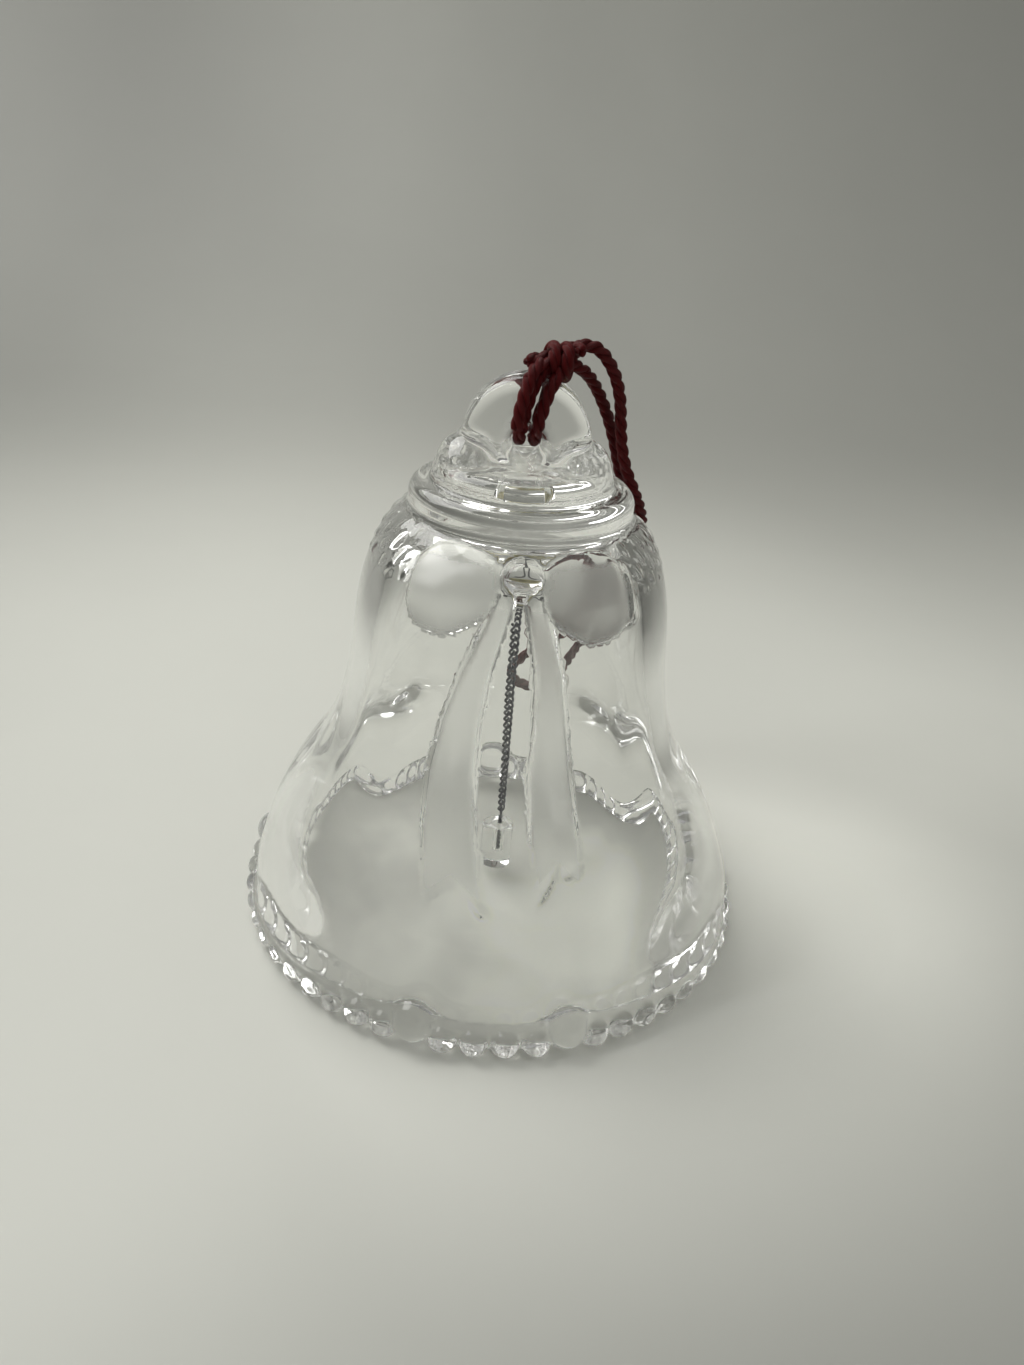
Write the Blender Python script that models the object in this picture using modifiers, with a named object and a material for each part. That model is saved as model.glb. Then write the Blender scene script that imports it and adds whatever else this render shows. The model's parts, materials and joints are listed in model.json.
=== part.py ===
"""A pressed glass bell with a moulded bow, a chain clapper and a twisted cord to hang it by.

The bell stands on its rim. The origin is the centre of the rim's flat underside, +Z is up the bell's axis
and the bow faces -Y. Sizes are in millimetres and become metres where an object is made.
"""

import math

import bmesh
import bpy
from mathutils import Euler, Matrix, Vector

MM = 0.001

# ---------------------------------------------------------------- driving dimensions (mm)
TURN_STEPS = 48  # facets round the bell

CEILING_Z = 84.0  # top of the hollow
CROWN_Z = 97.3  # top of the upper collar in the middle; its left and right sides stand higher
SADDLE_RISE = 3.2  # how much higher the upper collar's left and right sides are
WALL_LEAST = 1.0  # every outer point is at least this far outside the inner outline

DISC_R = 12.0  # the crown handle, a lens-shaped disc on edge
DISC_HALF_THICK = 5.2
DISC_Z = 102.5
HOLE_R = 3.2  # the hole from front to back through the disc
THROAT_HALF = 3.6  # half the length of the hole's straight part, between its 45 degree countersinks

DRAPE_DEPTH = 3.0  # how far a wide fold of the skirt stands out

SMALL_BEAD_R = 2.85
SMALL_BEAD_RING = (51.75, 3.05)  # radius and height of the small beads' centres
LARGE_BEAD_R = 4.3
LARGE_BEAD_RING = (50.7, 5.0)
LARGE_BEAD_DEG = (-98.0, -16.25, 16.25, 98.0, 180.0)  # azimuths from the bow, the ends of five swags
SMALL_BEAD_STEP_DEG = 6.3

HANG_X = 1.0  # the adhesive pad and the chain sit this far to the right of the axis
PAD_R = 8.0
PAD_THICK = 1.7
PAD_TOP_Z = 83.2  # clear of the ceiling, which falls a little towards the pad's edge
EYE_WIRE = 0.8  # wire diameter of the hanger eye
EYE_LOOP_R = 1.5  # centreline radius of the eye's loop
EYE_BOTTOM_Z = 72.6  # inner edge of the eye's loop
EYE_NECK = 0.75  # half the distance between the eye's two legs, where they part
EYE_FOOT = 5.0  # how far each of the eye's feet reaches sideways
LINKS = 32
LINK_PITCH = 1.6
LINK_WIRE = 0.56
LINK_WIDTH = 2.5
LINK_PLAY = 0.12  # clearance between one link's wire and the next link's wire
LINK_HALF_LENGTH = (LINK_PITCH + LINK_PLAY + LINK_WIRE) / 2  # of the link's centreline
LINK_HALF_WIDTH = (LINK_WIDTH - LINK_WIRE) / 2
CLAPPER_R = 3.5
CLAPPER_LENGTH = 14.0
CLAPPER_TOP_BELOW_PIN = 2.8  # the clapper's top, below the centre of the pin's eye
CLAPPER_EDGE = 1.2  # height of the rounding round the clapper's top
PIN_WIRE = 0.7
PIN_EYE_R = 1.2  # centreline radius of the pin's eye
PIN_EYE_OPENING_DEG = 56.0  # the part of the eye's circle where its two legs leave
STEM_R = 0.6  # the two legs side by side
STEM_START = 0.85  # below the centre of the pin's eye
STEM_END = 11.3
STEM_PLAY = 0.2  # clearance round the stem in the clapper

CORD_R = 1.2
GAP = 0.3

# The bell's outer and inner outlines as (radius, height), rounded by hand from the driving sizes above.
OUTER = (
    (9.0, CROWN_Z), (14.0, 97.2), (16.0, 96.5), (16.8, 95.5), (17.2, 94.8), (18.8, 94.6), (20.5, 93.9),
    (21.3, 92.5), (21.5, 90.5), (21.6, 88.5), (23.2, 87.5), (25.7, 85.7), (28.2, 80.0), (30.3, 72.0),
    (31.3, 63.0), (32.4, 55.0), (34.0, 48.0), (37.0, 40.5), (41.0, 34.0), (45.2, 27.0), (48.2, 20.0),
    (49.9, 12.0), (50.4, 5.0), (50.3, 1.2), (49.4, 0.0),
)
INNER = (
    (46.8, 0.0), (46.7, 1.0), (46.4, 6.0), (45.7, 12.0), (44.0, 20.0), (41.0, 27.0), (37.0, 34.0),
    (33.0, 40.5), (29.8, 48.0), (28.0, 55.0), (26.7, 63.0), (25.2, 71.0), (22.4, 77.5), (18.0, 81.8),
    (11.5, 83.6),
)

# The hanging cord's routes: the sling's two strands through the hole, the front tail and the long loop.
SLING_LEFT = (
    (1.4, -3.9, 114.6), (0.3, -5.3, 112.9), (-0.4, -6.3, 110.8), (-0.9, -6.6, 108.4), (-1.2, -6.1, 106.1),
    (-1.4, -4.6, 104.1), (-1.4, -2.4, 103.0), (-1.4, 0.0, 102.7), (-1.4, 2.4, 103.0), (-1.3, 4.6, 104.1),
    (-0.9, 6.1, 106.1), (-0.2, 6.6, 108.4), (0.8, 6.3, 110.8), (1.9, 5.2, 113.0), (2.8, 3.9, 114.5),
)
SLING_RIGHT = (
    (4.3, -4.1, 114.4), (3.3, -5.4, 112.8), (2.6, -6.3, 110.8), (2.0, -6.6, 108.4), (1.6, -6.1, 106.1),
    (1.4, -4.6, 104.1), (1.4, -2.4, 103.0), (1.4, 0.0, 102.7), (1.4, 2.4, 103.0), (1.6, 4.6, 104.1),
    (2.1, 6.1, 106.1), (2.8, 6.6, 108.4), (3.7, 6.3, 110.8), (4.7, 5.3, 112.9), (5.6, 4.0, 114.4),
)
FRONT_TAIL = (
    (-0.4, -6.7, 115.2), (-1.0, -8.0, 113.2), (-1.6, -8.8, 111.0), (-2.0, -9.2, 108.6), (-2.2, -9.2, 106.2),
)
TOP_TAIL = ((0.7, -2.5, 117.4), (-0.3, -3.4, 117.2), (-1.3, -4.2, 116.8))
LOOP = (
    (7.6, 2.5, 119.0), (9.3, 3.0, 119.25), (11.6, 3.9, 118.75), (13.8, 4.9, 116.8), (15.9, 6.3, 113.5),
    (17.4, 7.4, 109.2), (18.2, 8.0, 104.4), (19.1, 8.2, 99.6), (20.6, 8.5, 95.2), (22.6, 9.1, 91.2),
    (24.5, 10.8, 87.2), (25.8, 13.6, 82.9), (25.8, 17.3, 77.4), (25.0, 20.9, 70.8), (23.8, 23.9, 63.4),
    (21.7, 27.1, 56.0), (19.3, 30.2, 50.0), (16.9, 33.8, 44.0), (14.9, 37.2, 39.0), (13.95, 39.35, 36.3),
    (12.2, 41.3, 34.25), (9.3, 42.4, 33.5), (6.3, 42.45, 34.1), (4.1, 41.5, 35.85), (3.1, 39.9, 38.4),
    (3.4, 38.7, 40.6), (4.7, 37.7, 42.4), (8.4, 35.9, 46.6), (13.2, 33.0, 50.8), (17.8, 29.6, 56.4),
    (20.6, 26.6, 63.4), (22.0, 23.7, 71.0), (22.3, 21.1, 77.6), (22.0, 18.4, 83.4), (22.0, 14.9, 87.7),
    (20.4, 12.7, 92.0), (18.9, 11.9, 96.6), (17.4, 11.4, 101.2), (15.6, 10.4, 105.6), (13.4, 8.7, 109.8),
    (11.2, 6.4, 113.0), (9.3, 4.2, 114.8),
)
KNOT_AT = (4.9, -0.5, 117.1)
KNOT_SIZE = (3.9, 3.7, 3.1)


# ---------------------------------------------------------------- scene and helpers
def clear_scene():
    for obj in list(bpy.data.objects):
        bpy.data.objects.remove(obj, do_unlink=True)
    for coll in list(bpy.data.collections):
        bpy.data.collections.remove(coll)


def collection(name):
    coll = bpy.data.collections.new(name)
    bpy.context.scene.collection.children.link(coll)
    return coll


def material(name, colour, roughness, metallic=0.0, transmission=0.0, ior=1.5):
    mat = bpy.data.materials.new(name)
    mat.use_nodes = True
    shader = mat.node_tree.nodes["Principled BSDF"]
    shader.inputs["Base Color"].default_value = (*colour, 1.0)
    shader.inputs["Roughness"].default_value = roughness
    shader.inputs["Metallic"].default_value = metallic
    shader.inputs["Transmission Weight"].default_value = transmission
    shader.inputs["IOR"].default_value = ior
    mat.diffuse_color = (*colour, 1.0)
    return mat


def move_to(obj, coll):
    for other in list(obj.users_collection):
        other.objects.unlink(obj)
    coll.objects.link(obj)


def finish(obj, name, coll, mat=None, angle=40):
    """Names a mesh object, files it, gives it its material and shades it smooth up to an angle."""
    obj.name = name
    move_to(obj, coll)
    if mat:
        obj.data.materials.clear()
        obj.data.materials.append(mat)
    obj.data.shade_smooth()
    obj.data.set_sharp_from_angle(angle=math.radians(angle))
    return obj


def as_tool(obj):
    obj.hide_render = True
    obj.display_type = "WIRE"
    return obj


def boolean(obj, tool, operation):
    mod = obj.modifiers.new(operation.lower() + "_" + tool.name, "BOOLEAN")
    mod.operation = operation
    mod.solver = "EXACT"
    mod.object = tool
    return mod


def realised(obj):
    """Turns an object with modifiers, or a curve, into a plain welded mesh object in the same place."""
    depsgraph = bpy.context.evaluated_depsgraph_get()
    mesh = bpy.data.meshes.new_from_object(obj.evaluated_get(depsgraph))
    mesh.transform(obj.matrix_world)
    bm = bmesh.new()
    bm.from_mesh(mesh)
    bmesh.ops.remove_doubles(bm, verts=bm.verts, dist=0.00002)
    bm.to_mesh(mesh)
    bm.free()
    new = bpy.data.objects.new(obj.name + "_mesh", mesh)
    bpy.context.scene.collection.objects.link(new)
    bpy.data.objects.remove(obj, do_unlink=True)
    return new


def turned(profile, steps, at=(0.0, 0.0, 0.0)):
    """A solid of revolution about Z from an open profile of (radius, height) whose ends lie on the axis."""
    mesh = bpy.data.meshes.new("profile")
    bm = bmesh.new()
    verts = [bm.verts.new((r * MM, 0.0, z * MM)) for r, z in profile]
    for a, b in zip(verts, verts[1:]):
        bm.edges.new((a, b))
    bm.to_mesh(mesh)
    bm.free()
    obj = bpy.data.objects.new("turned", mesh)
    bpy.context.scene.collection.objects.link(obj)
    obj.location = Vector(at) * MM
    screw = obj.modifiers.new("turn", "SCREW")
    screw.steps = steps
    screw.render_steps = steps
    screw.use_merge_vertices = True
    screw.merge_threshold = 0.00001
    screw.use_smooth_shade = True
    bpy.context.view_layer.update()
    return obj


def ellipsoid(at, semi, rotation=(0.0, 0.0, 0.0), segments=12, rings=8):
    """A UV sphere scaled to three semi-axes, with its scale applied to the mesh."""
    mesh = bpy.data.meshes.new("ellipsoid")
    bm = bmesh.new()
    bmesh.ops.create_uvsphere(bm, u_segments=segments, v_segments=rings, radius=1.0)
    bmesh.ops.scale(bm, vec=Vector(semi) * MM, verts=bm.verts)
    bm.to_mesh(mesh)
    bm.free()
    obj = bpy.data.objects.new("ellipsoid", mesh)
    bpy.context.scene.collection.objects.link(obj)
    obj.location = Vector(at) * MM
    obj.rotation_euler = rotation
    bpy.context.view_layer.update()
    return obj


def wire(points, radius, cyclic=False, resolution=2):
    """A round wire along points in millimetres, as a POLY curve with filled caps."""
    curve = bpy.data.curves.new("wire", "CURVE")
    curve.dimensions = "3D"
    curve.bevel_depth = radius * MM
    curve.bevel_resolution = resolution
    curve.use_fill_caps = not cyclic
    spline = curve.splines.new("POLY")
    spline.points.add(len(points) - 1)
    for point, at in zip(spline.points, points):
        point.co = (*(Vector(at) * MM), 1.0)
    spline.use_cyclic_u = cyclic
    obj = bpy.data.objects.new("wire", curve)
    bpy.context.scene.collection.objects.link(obj)
    bpy.context.view_layer.update()
    return obj


def smooth_route(points, spacing):
    """Points a fixed spacing apart, or nearly, along a Catmull-Rom curve through the route's points."""
    pts = [Vector(p) for p in points]
    pts = [2 * pts[0] - pts[1], *pts, 2 * pts[-1] - pts[-2]]
    fine = []
    for a, b, c, d in zip(pts, pts[1:], pts[2:], pts[3:]):
        for k in range(16):
            t = k / 16
            fine.append(
                0.5 * (2 * b + (c - a) * t + (2 * a - 5 * b + 4 * c - d) * t**2
                       + (3 * b - a - 3 * c + d) * t**3)
            )
    fine.append(pts[-2])
    length = sum((b - a).length for a, b in zip(fine, fine[1:]))
    count = max(2, round(length / spacing))
    route, walked, target = [fine[0]], 0.0, length / count
    for a, b in zip(fine, fine[1:]):
        walked += (b - a).length
        if walked >= target - 1e-9 and len(route) < count:
            route.append(b)
            target += length / count
    return [*route, fine[-1]]


def smoothstep(low, high, value):
    t = min(max((value - low) / (high - low), 0.0), 1.0)
    return t * t * (3 - 2 * t)


def radius_at(z, outline):
    """An outline's radius at a height, between its points, which may run up or down."""
    for (r0, z0), (r1, z1) in zip(outline, outline[1:]):
        if min(z0, z1) <= z <= max(z0, z1) and z0 != z1:
            return r0 + (r1 - r0) * (z - z0) / (z1 - z0)
    return outline[-1][0]


def swag(azimuth_deg):
    """(the place between two large beads from 0 to 1, the angle between those two beads)."""
    beads = [*LARGE_BEAD_DEG, LARGE_BEAD_DEG[0] + 360.0]
    azimuth = (azimuth_deg - beads[0]) % 360.0 + beads[0]
    for low, high in zip(beads, beads[1:]):
        if low <= azimuth <= high:
            return (azimuth - low) / (high - low), high - low
    return 0.0, 360.0


def drape(azimuth_deg, z):
    """How far the draped skirt stands out from the turned outline: a fold between each two large beads."""
    place, width = swag(azimuth_deg)
    depth = DRAPE_DEPTH * smoothstep(20.0, 80.0, width)
    lip = smoothstep(0.0, 5.0, z) * (1 - smoothstep(14.0, 44.0, z))
    return depth * math.sin(math.pi * place) ** 2 * lip


def saddle(x, z):
    """How much the upper collar's left and right sides stand above its middle."""
    return SADDLE_RISE * smoothstep(8.5, 14.0, abs(x)) * smoothstep(94.8, CROWN_Z, z)


# ---------------------------------------------------------------- the glass bell
def bell_body():
    profile = [(0.0, CROWN_Z), *OUTER, *INNER, (0.0, CEILING_Z)]
    body = realised(turned(profile, TURN_STEPS))
    for vert in body.data.vertices:
        x, y, z = vert.co / MM
        radius = math.hypot(x, y)
        if z > CEILING_Z:
            vert.co.z += saddle(x, z) * MM
        elif radius > radius_at(z, INNER) + WALL_LEAST:
            grown = 1 + drape(math.degrees(math.atan2(x, -y)), z) / radius
            vert.co.x *= grown
            vert.co.y *= grown
    return body


def bead_azimuths():
    """The azimuths of the small beads, evenly spaced between each two large ones."""
    beads = [*LARGE_BEAD_DEG, LARGE_BEAD_DEG[0] + 360.0]
    for low, high in zip(beads, beads[1:]):
        count = round((high - low) / SMALL_BEAD_STEP_DEG)
        for k in range(1, count):
            yield low + (high - low) * k / count


def bead_row(azimuths, radius, ring, segments, rings):
    """One mesh of round beads at the given azimuths, each a sphere of its own."""
    mesh = bpy.data.meshes.new("beads")
    bm = bmesh.new()
    for azimuth in azimuths:
        angle = math.radians(azimuth)
        at = Vector((ring[0] * math.sin(angle), -ring[0] * math.cos(angle), ring[1])) * MM
        place = Matrix.Translation(at) @ Matrix.Rotation(angle, 4, "Z")
        bmesh.ops.create_uvsphere(bm, u_segments=segments, v_segments=rings, radius=radius * MM, matrix=place)
    bm.to_mesh(mesh)
    bm.free()
    obj = bpy.data.objects.new("beads", mesh)
    bpy.context.scene.collection.objects.link(obj)
    bpy.context.view_layer.update()
    return obj


def on_skirt(x, z, lift):
    """A point in front of the skirt's turned outline, at a sideways place and a height."""
    radius = radius_at(z, OUTER) + lift
    return Vector((x, -math.sqrt(max(radius**2 - x**2, 0.0)), z))


def ribbon_tail(stations):
    """A raised ribbon laid down the bell's front: a loft of rounded sections, its underside in the glass."""
    mesh = bpy.data.meshes.new("ribbon")
    bm = bmesh.new()
    rings = []
    for x, z, half_width, thick in stations:
        ring = []
        for k in range(7):
            u = math.cos(math.pi * k / 6)
            ring.append(on_skirt(x + u * half_width, z, thick * math.sin(math.pi * k / 6) ** 0.7))
        for u in (-0.8, 0.8):
            ring.append(on_skirt(x + u * half_width, z, -2.0))
        rings.append([bm.verts.new(p * MM) for p in ring])
    for a, b in zip(rings, rings[1:]):
        for k in range(len(a)):
            n = (k + 1) % len(a)
            bm.faces.new((a[k], b[k], b[n], a[n]))
    bm.faces.new(rings[0])
    bm.faces.new(list(reversed(rings[-1])))
    bmesh.ops.recalc_face_normals(bm, faces=bm.faces)
    bm.to_mesh(mesh)
    bm.free()
    obj = bpy.data.objects.new("ribbon", mesh)
    bpy.context.scene.collection.objects.link(obj)
    bpy.context.view_layer.update()
    return obj


LEFT_TAIL = (  # x, z, half width, thickness
    (-1.8, 84.0, 2.0, 1.4), (-3.6, 78.0, 2.4, 1.8), (-6.6, 70.0, 2.9, 1.8), (-8.7, 60.0, 3.6, 1.8),
    (-9.9, 50.0, 4.4, 1.8), (-10.0, 40.0, 5.2, 1.8), (-8.8, 32.0, 5.6, 1.6), (-7.6, 28.0, 4.6, 1.0),
)
RIGHT_TAIL = (
    (2.0, 84.0, 1.8, 1.4), (3.8, 78.0, 2.3, 1.8), (5.8, 70.0, 2.8, 1.8), (6.9, 60.0, 3.2, 1.8),
    (7.6, 50.0, 4.2, 1.8), (9.2, 40.0, 5.2, 1.7), (10.6, 34.0, 4.6, 1.2),
)


def bow_pieces():
    """The moulded bow: two pillow loops on the shoulder, the knot between them and the two tails."""
    for side in (-1, 1):
        yield ellipsoid(
            (side * 11.6, -22.2, 81.4), (9.2, 4.6, 7.2),
            Euler((math.radians(-24), math.radians(side * -6), math.radians(side * 27))), 14, 8,
        )
    yield ellipsoid((0.3, -25.2, 84.6), (3.9, 3.4, 3.9), (math.radians(-24), 0.0, 0.0), 10, 6)
    yield ribbon_tail(LEFT_TAIL)
    yield ribbon_tail(RIGHT_TAIL)


def handle_hole():
    """The cutter for the hole: a straight bore with a countersink at each mouth, along Y."""
    reach = DISC_HALF_THICK + 3.0
    mouth = HOLE_R + reach - THROAT_HALF
    profile = [
        (0.0, reach), (mouth, reach), (HOLE_R, THROAT_HALF), (HOLE_R, -THROAT_HALF), (mouth, -reach),
        (0.0, -reach),
    ]
    obj = turned(profile, 16, (0.0, 0.0, DISC_Z))
    obj.rotation_euler = (math.radians(90), 0.0, 0.0)
    bpy.context.view_layer.update()
    return realised(obj)


def glass_bell(parts, tools):
    body = bell_body()
    disc = ellipsoid((0.0, 0.0, DISC_Z), (DISC_R, DISC_HALF_THICK, DISC_R), (0.0, 0.0, 0.0), 24, 14)
    small = bead_row(bead_azimuths(), SMALL_BEAD_R, SMALL_BEAD_RING, 8, 6)
    large = bead_row(LARGE_BEAD_DEG, LARGE_BEAD_R, LARGE_BEAD_RING, 10, 6)
    for number, piece in enumerate([disc, small, large, *bow_pieces()]):
        piece.name = f"joined_form_{number}"
        boolean(body, as_tool(piece), "UNION")
        move_to(piece, tools)
    hole = as_tool(handle_hole())
    hole.name = "hole_form"
    move_to(hole, tools)
    boolean(body, hole, "DIFFERENCE")
    glass = material("glass", (0.93, 0.95, 0.94), 0.03, transmission=0.9, ior=1.52)
    return finish(body, "glass_bell", parts, glass, 35)


# ---------------------------------------------------------------- inside the bell
def adhesive_pad(parts):
    bottom = PAD_TOP_Z - PAD_THICK
    profile = [
        (0.0, PAD_TOP_Z), (PAD_R - 1.0, PAD_TOP_Z - 0.1), (PAD_R, PAD_TOP_Z - 0.7),
        (PAD_R - 0.5, bottom + 0.2), (PAD_R - 2.5, bottom), (0.0, bottom),
    ]
    pad = realised(turned(profile, 20, (HANG_X, 0.0, 0.0)))
    return finish(pad, "adhesive_pad", parts, material("adhesive", (0.78, 0.74, 0.5), 0.35))


def hanger_eye(parts):
    """A bent wire: a teardrop loop under the pad, with its two feet turned out flat against it."""
    foot_z = PAD_TOP_Z - PAD_THICK - GAP - EYE_WIRE / 2
    centre_z = EYE_BOTTOM_Z - EYE_WIRE / 2 + EYE_LOOP_R
    leg = [
        (EYE_NECK, foot_z - 1.6), (EYE_NECK + 0.55, foot_z - 0.5), (EYE_FOOT / 2, foot_z), (EYE_FOOT, foot_z),
    ]
    points = [(HANG_X - across, 0.0, z) for across, z in reversed(leg)]
    for k in range(9):
        angle = math.radians(155 + k * 28.75)
        points.append((HANG_X + EYE_LOOP_R * math.cos(angle), 0.0, centre_z + EYE_LOOP_R * math.sin(angle)))
    points += [(HANG_X + across, 0.0, z) for across, z in leg]
    eye = realised(wire(points, EYE_WIRE / 2, resolution=1))
    return finish(eye, "hanger_eye", parts, material("hanger_steel", (0.5, 0.5, 0.49), 0.35, 1.0), 60)


def link_path():
    """One curb link's centreline: an oval twisted a quarter turn, its foot along X and its head along Y."""
    points = []
    for k in range(10):
        angle = math.radians(90 + 36 * k)
        across, z = LINK_HALF_WIDTH * math.cos(angle), LINK_HALF_LENGTH * math.sin(angle)
        turn = math.radians(45 + 45 * z / LINK_HALF_LENGTH)
        points.append((across * math.cos(turn), across * math.sin(turn), z))
    return points


def first_link_z():
    """The centre of the first link: its head's inner edge hangs a little under the eye's wire."""
    return EYE_BOTTOM_Z + LINK_PLAY + LINK_WIRE / 2 - LINK_HALF_LENGTH


def chain(parts):
    steel = material("chain_steel", (0.42, 0.42, 0.42), 0.3, 1.0)
    pattern = realised(wire(link_path(), LINK_WIRE / 2, cyclic=True, resolution=1))
    mesh = pattern.data
    bpy.data.objects.remove(pattern, do_unlink=True)
    mesh.materials.append(steel)
    mesh.shade_smooth()
    for number in range(LINKS):
        link = bpy.data.objects.new(f"chain_link_{number + 1:02d}", mesh)
        link.location = Vector((HANG_X, 0.0, first_link_z() - number * LINK_PITCH)) * MM
        parts.objects.link(link)


def clapper_pin_z():
    """The centre of the clapper pin's eye, which hangs in the last link."""
    last_foot = first_link_z() - (LINKS - 1) * LINK_PITCH - LINK_HALF_LENGTH
    return last_foot + LINK_WIRE / 2 + LINK_PLAY + PIN_WIRE / 2 - PIN_EYE_R


def clapper_pin(parts):
    """A wire eye in the YZ plane whose two legs close into the stem inside the clapper."""
    centre = clapper_pin_z()
    points = []
    for k in range(11):
        angle = math.radians((PIN_EYE_OPENING_DEG - 180) / 2 + k * (360 - PIN_EYE_OPENING_DEG) / 10)
        points.append((HANG_X, PIN_EYE_R * math.cos(angle), centre + PIN_EYE_R * math.sin(angle)))
    loop = realised(wire(points, PIN_WIRE / 2, resolution=1))
    stem_points = [(HANG_X, 0.0, centre - STEM_START), (HANG_X, 0.0, centre - STEM_END)]
    stem = as_tool(realised(wire(stem_points, STEM_R, resolution=1)))
    boolean(loop, stem, "UNION")
    stem.name = "stem_form"
    move_to(stem, bpy.data.collections["cutters"])
    return finish(loop, "clapper_pin", parts, material("pin_steel", (0.36, 0.36, 0.36), 0.4, 1.0), 60)


def clapper(parts):
    """A clear bar with rounded edges and a blind hole down its top for the pin."""
    top = clapper_pin_z() - CLAPPER_TOP_BELOW_PIN
    bottom = top - CLAPPER_LENGTH
    hole = STEM_R + STEM_PLAY
    hole_floor = clapper_pin_z() - STEM_END - STEM_PLAY
    profile = [
        (0.0, hole_floor), (hole, hole_floor), (hole, top), (CLAPPER_R - 1.1, top),
        (CLAPPER_R - 0.3, top - 0.35), (CLAPPER_R, top - CLAPPER_EDGE), (CLAPPER_R, bottom + 0.6),
        (CLAPPER_R - 0.3, bottom + 0.1), (CLAPPER_R - 0.7, bottom), (0.0, bottom),
    ]
    bar = realised(turned(profile, 20, (HANG_X, 0.0, 0.0)))
    return finish(bar, "clapper", parts, material("acrylic", (0.9, 0.92, 0.92), 0.08, transmission=0.9), 35)


# ---------------------------------------------------------------- the cord
def cord_tube(name, route, spacing, parts, mat):
    tube = wire(smooth_route(route, spacing), CORD_R)
    tube.name = name
    move_to(tube, parts)
    tube.data.materials.append(mat)
    return tube


def cord(parts):
    rayon = material("cord_rayon", (0.32, 0.01, 0.02), 0.55)
    cord_tube("cord_sling_left", SLING_LEFT, 2.6, parts, rayon)
    cord_tube("cord_sling_right", SLING_RIGHT, 2.6, parts, rayon)
    cord_tube("cord_loop", LOOP, 4.5, parts, rayon)
    for name, route in (("cord_tail_front", FRONT_TAIL), ("cord_tail_top", TOP_TAIL)):
        cord_tube(name, route, 2.4, parts, rayon)
    knot = ellipsoid(KNOT_AT, KNOT_SIZE, (0.0, 0.0, 0.0), 14, 8)
    finish(knot, "cord_knot", parts, rayon)


def main():
    clear_scene()
    parts = collection("glass_bell_ornament")
    tools = collection("cutters")
    glass_bell(parts, tools)
    adhesive_pad(parts)
    hanger_eye(parts)
    chain(parts)
    clapper_pin(parts)
    clapper(parts)
    cord(parts)


main()
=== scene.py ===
"""The looks of the pressed glass bell: fine glass, satin bow, twisted cord, curb chain and clapper.

Sizes are in millimetres and become metres where an object is made. The frame is the CAD's: the origin is
the centre of the rim's underside, +Z is up and the bow faces -Y.
"""

import json
import math

import bpy
import numpy as np
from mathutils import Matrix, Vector


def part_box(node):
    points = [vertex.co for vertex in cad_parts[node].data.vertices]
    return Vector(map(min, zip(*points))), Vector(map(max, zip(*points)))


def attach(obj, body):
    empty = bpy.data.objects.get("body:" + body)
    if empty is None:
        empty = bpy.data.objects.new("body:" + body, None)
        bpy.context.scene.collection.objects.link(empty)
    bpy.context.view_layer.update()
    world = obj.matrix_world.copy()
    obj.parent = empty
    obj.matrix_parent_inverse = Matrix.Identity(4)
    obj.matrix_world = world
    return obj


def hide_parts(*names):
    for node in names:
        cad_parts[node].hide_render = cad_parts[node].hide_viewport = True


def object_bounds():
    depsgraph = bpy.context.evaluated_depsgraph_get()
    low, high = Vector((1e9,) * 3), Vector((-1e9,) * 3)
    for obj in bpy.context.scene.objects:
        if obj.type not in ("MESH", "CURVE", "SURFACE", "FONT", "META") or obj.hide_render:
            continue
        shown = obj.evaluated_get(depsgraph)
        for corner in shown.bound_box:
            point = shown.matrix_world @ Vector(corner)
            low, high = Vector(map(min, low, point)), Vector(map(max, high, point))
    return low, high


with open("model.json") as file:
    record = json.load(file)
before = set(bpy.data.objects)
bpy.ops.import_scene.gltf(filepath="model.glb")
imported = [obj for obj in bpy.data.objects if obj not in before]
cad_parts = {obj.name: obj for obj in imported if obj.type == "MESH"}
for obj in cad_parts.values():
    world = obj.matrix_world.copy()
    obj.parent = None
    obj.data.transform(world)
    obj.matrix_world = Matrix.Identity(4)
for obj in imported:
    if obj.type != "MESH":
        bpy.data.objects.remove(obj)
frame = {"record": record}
CAD_BOX = [list(corner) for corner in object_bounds()]

MM = 0.001
BELL = "bell"

# ---------------------------------------------------------------- driving sizes of the glass (mm)
CELL = 0.8  # grid spacing of the glass mesh
CEILING_Z = 84.0
DISC_R = 12.0
DISC_HALF_THICK = 4.8
DISC_Z = 102.5
HOLE_R = 2.8  # the hole's radius in the middle of the disc
HOLE_FLARE = 1.5  # how much wider the hole is at the disc's faces
SMALL_BEAD_R = 2.85
SMALL_BEAD_RING = (51.75, 3.05)
LARGE_BEAD_R = 4.3
LARGE_BEAD_RING = (50.7, 5.0)
LARGE_BEAD_DEG = (-98.0, -16.25, 16.25, 98.0, 180.0)
BEAD_STEP_DEG = 6.3

# (height, radius) of the turned outer and inner outlines, from the rim up
OUTER = (
    (-3.0, 49.6), (0.0, 50.2), (5.0, 50.4), (12.0, 49.9), (20.0, 48.2), (27.0, 45.2), (34.0, 41.0),
    (40.5, 37.0), (48.0, 34.0), (55.0, 32.4), (63.0, 31.3), (72.0, 30.3), (80.0, 28.2), (85.0, 25.9),
    (89.0, 22.6), (93.0, 17.5), (97.0, 11.0),
)
INNER = (
    (-3.0, 47.0), (0.0, 46.8), (6.0, 46.4), (12.0, 45.7), (20.0, 44.0), (27.0, 41.0), (34.0, 37.0),
    (40.5, 33.0), (48.0, 29.8), (55.0, 28.0), (63.0, 26.7), (71.0, 25.2), (78.0, 22.6), (85.0, 18.5),
    (92.0, 14.0),
)

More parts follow.
